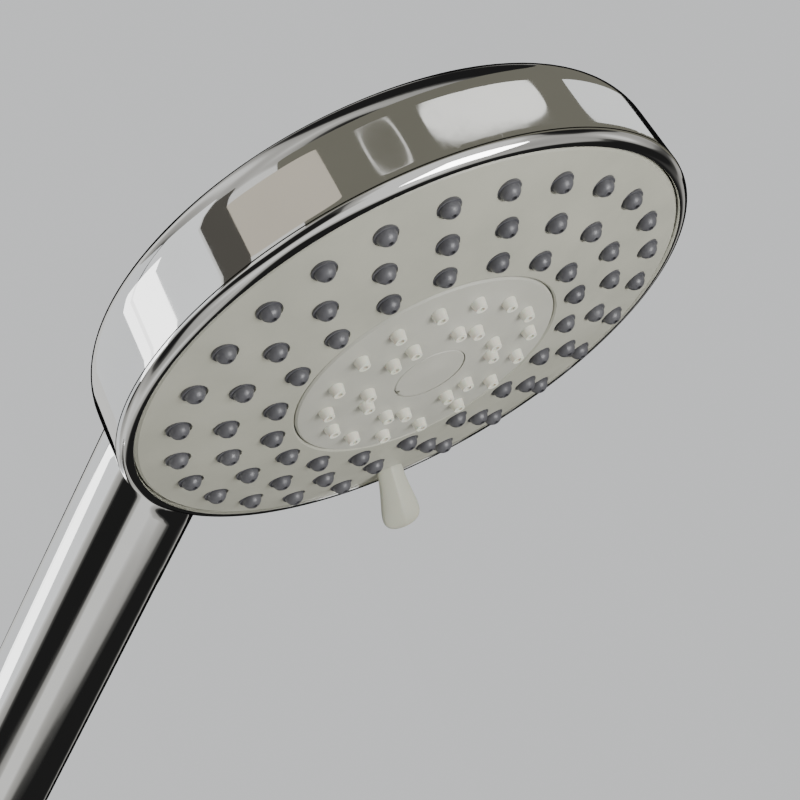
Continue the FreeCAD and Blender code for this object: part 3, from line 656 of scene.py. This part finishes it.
def tube(bm, path, radii, segments):
    """Round tube along a path that lies in the XZ plane, closed at both ends."""
    rings = []
    for index, (centre, radius) in enumerate(zip(path, radii)):
        before = path[max(index - 1, 0)]
        after = path[min(index + 1, len(path) - 1)]
        way = (after - before) / np.linalg.norm(after - before)
        side = np.array([0.0, 1.0, 0.0])
        lift = np.cross(way, side)
        rings.append([bm.verts.new(tuple(centre + radius * (math.cos(a) * side + math.sin(a) * lift)))
                      for a in np.linspace(0, 2 * math.pi, segments, endpoint=False)])
    for low, high in zip(rings, rings[1:]):
        bridge(bm, low, high)
    bm.faces.new(rings[0][::-1])
    bm.faces.new(rings[-1])


def finished(bm, name, sharp=32.0):
    """Scale a millimetre mesh to metres, shade it smooth and keep its true edges crisp."""
    for vertex in bm.verts:
        vertex.co *= MM
    bmesh.ops.recalc_face_normals(bm, faces=bm.faces)
    for face in bm.faces:
        face.smooth = True
    for edge in bm.edges:
        if len(edge.link_faces) == 2 and edge.calc_face_angle() > math.radians(sharp):
            edge.smooth = False
    mesh = bpy.data.meshes.new(name)
    bm.to_mesh(mesh)
    bm.free()
    return mesh


def arc(centre, radius, start, end, steps):
    """Points along an arc from one angle to another, in degrees."""
    return [(centre[0] + radius * math.cos(math.radians(start + (end - start) * k / steps)),
             centre[1] + radius * math.sin(math.radians(start + (end - start) * k / steps)))
            for k in range(steps + 1)]


# ---- lip, lever, connector and springs ----
def make_bezel():
    """Convex plated lip: a bright crest at the wall, rolling down into the dark gap at the face."""
    inner = FACE_RADIUS + FACE_GAP
    sleeve = RIM_RADIUS - SLEEVE_INSET
    outline = [(inner, BEZEL_LOW + 0.35), (inner + 0.12, BEZEL_LOW + 0.06)]
    outline += arc((RIM_RADIUS - LIP_ROLL, BEZEL_LOW + LIP_ROLL), LIP_ROLL, -90, -12, 14)
    outline += [(RIM_RADIUS - 0.06, 1.9), (RIM_RADIUS - 0.5, 2.0), (sleeve, 2.0),
                (sleeve, BEZEL_HIGH), (inner, BEZEL_HIGH)]
    bm = bmesh.new()
    spin_profile(bm, outline, 288, closed=True)
    return stand_in("bezel_lip", finished(bm, "bezel_lip"), "bezel_ring")


def lever_section(half_width, half_depth, points=24):
    """Offsets across and out of the paddle: a ridge on the outer side, rounded behind."""
    offsets = []
    for k in range(points):
        angle = 2 * math.pi * k / points
        ridge = 1.9 if math.sin(angle) > 0 else 0.92
        across = math.copysign(abs(math.cos(angle)) ** ridge, math.cos(angle)) * half_width
        out = math.copysign(abs(math.sin(angle)) ** 1.05, math.sin(angle)) * half_depth
        offsets.append((across, out))
    return offsets


def make_lever():
    """Soft-edged paddle with a ridge down its outer face, rooted in the plate over its peg."""
    reach = FACE_RADIUS - LEVER_SET_IN
    root = dome_height(reach)
    lean = math.radians(LEVER_LEAN)
    way = np.array([math.sin(lean), 0.0, -math.cos(lean)])
    side = np.array([0.0, 1.0, 0.0])
    lift = np.cross(side, way)
    # Distance along the paddle, half width, half depth.
    stations = [(-1.2, 2.8, 1.2), (0.6, 2.9, 1.45), (2.8, 3.1, 1.65), (5.2, 3.45, 1.85),
                (7.6, 3.95, 2.0), (9.8, 4.35, 2.0), (11.4, 4.4, 1.75), (12.5, 4.05, 1.4),
                (13.3, 3.3, 1.0), (13.8, 2.3, 0.65), (14.0, 1.1, 0.33)]
    start = np.array([reach - LEVER_BACK, LEVER_ASIDE, root])
    turn = math.radians(LEVER_ANGLE)
    spin = np.array([[math.cos(turn), -math.sin(turn), 0], [math.sin(turn), math.cos(turn), 0], [0, 0, 1]])
    bm = bmesh.new()
    rings = []
    for travel, half_width, half_depth in stations:
        centre = start + way * travel
        rings.append([bm.verts.new(tuple(spin @ (centre + side * across + lift * out)))
                      for across, out in lever_section(half_width, half_depth)])
    for first, second in zip(rings, rings[1:]):
        bridge(bm, first, second)
    bm.faces.new(rings[0][::-1])
    bm.faces.new(rings[-1])
    paddle = set(bm.verts)
    low, high = root + 0.02, root + 2.4
    spin_profile(bm, [(0.0, low), (PEG_RADIUS, low), (PEG_RADIUS, high), (0.0, high)], 24)
    peg = spin @ np.array([reach, 0.0, 0.0])
    for vertex in set(bm.verts) - paddle:
        vertex.co.x += peg[0]
        vertex.co.y += peg[1]
    lever = stand_in("lever_paddle", finished(bm, "lever_paddle", 60), "selector_lever")
    refine = lever.modifiers.new("round", "SUBSURF")
    refine.levels = refine.render_levels = 1
    return lever


def thread_radius(along, angle):
    """Radius of the helical thread, which fades into the core at both ends."""
    fade = max(min(1.0, (along - THREAD_START) / 0.7, (THREAD_END - along) / 0.9), 0.0)
    wave = abs(((along / THREAD_PITCH - angle / (2 * math.pi)) % 1.0) * 2 - 1)
    flank = min(1.0, max(0.0, (wave - 0.12) / 0.76))
    return THREAD_MINOR + (THREAD_MAJOR - THREAD_MINOR) * fade * flank


def make_thread():
    """Hose connector with its helical G 1/2 thread, inside the CAD cylinder."""
    segments, rows = 96, 120
    angles = [2 * math.pi * k / segments for k in range(segments)]
    bm = bmesh.new()

    def ring_at(along, radius_at):
        return [bm.verts.new((radius_at(angle) * math.cos(angle), radius_at(angle) * math.sin(angle), along))
                for angle in angles]

    rings = []
    for row in range(rows + 1):
        along = THREAD_START + (THREAD_END - THREAD_START) * row / rows
        rings.append(ring_at(along, lambda angle: thread_radius(along, angle)))
    bore = 7.6
    before = [(bore, -12.0), (8.3, -12.0), (8.9, -11.4), (8.9, -0.2), (10.6, 0.0), (10.75, 0.2), (10.75, 1.2),
              (10.6, 1.4), (9.2, 1.45), (9.2, 2.6)]
    after = [(9.0, 10.75), (8.6, 11.0), (7.9, 11.0), (bore, 10.7)]
    lead = [ring_at(height, lambda angle: radius) for radius, height in before]
    tail = [ring_at(height, lambda angle: radius) for radius, height in after]
    chain = lead + rings + tail
    for first, second in zip(chain, chain[1:] + chain[:1]):
        bridge(bm, first, second)
    across = Vector((0, 1, 0))
    way = Vector(HANDLE_WAY)
    turn = Matrix((across.cross(way), across, way)).transposed()
    for vertex in bm.verts:
        vertex.co = turn @ vertex.co + Vector(HANDLE_END)
    return stand_in("threaded_connector", finished(bm, "threaded_connector", 40), "hose_connector")


def make_spring(node):
    """A copy of the CAD spring, with a mesh of its own, in the spring's place."""
    coil = stand_in(node + "_coil", frame["nodes"][node].data.copy(), node)
    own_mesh(coil)


make_camera()
make_room()
for node, item in frame["nodes"].items():
    dress(item, SLOT_OF[node])
make_shell()
make_bezel()
make_lever()
make_thread()
make_spring("seal_spring")
make_spring("detent_spring")
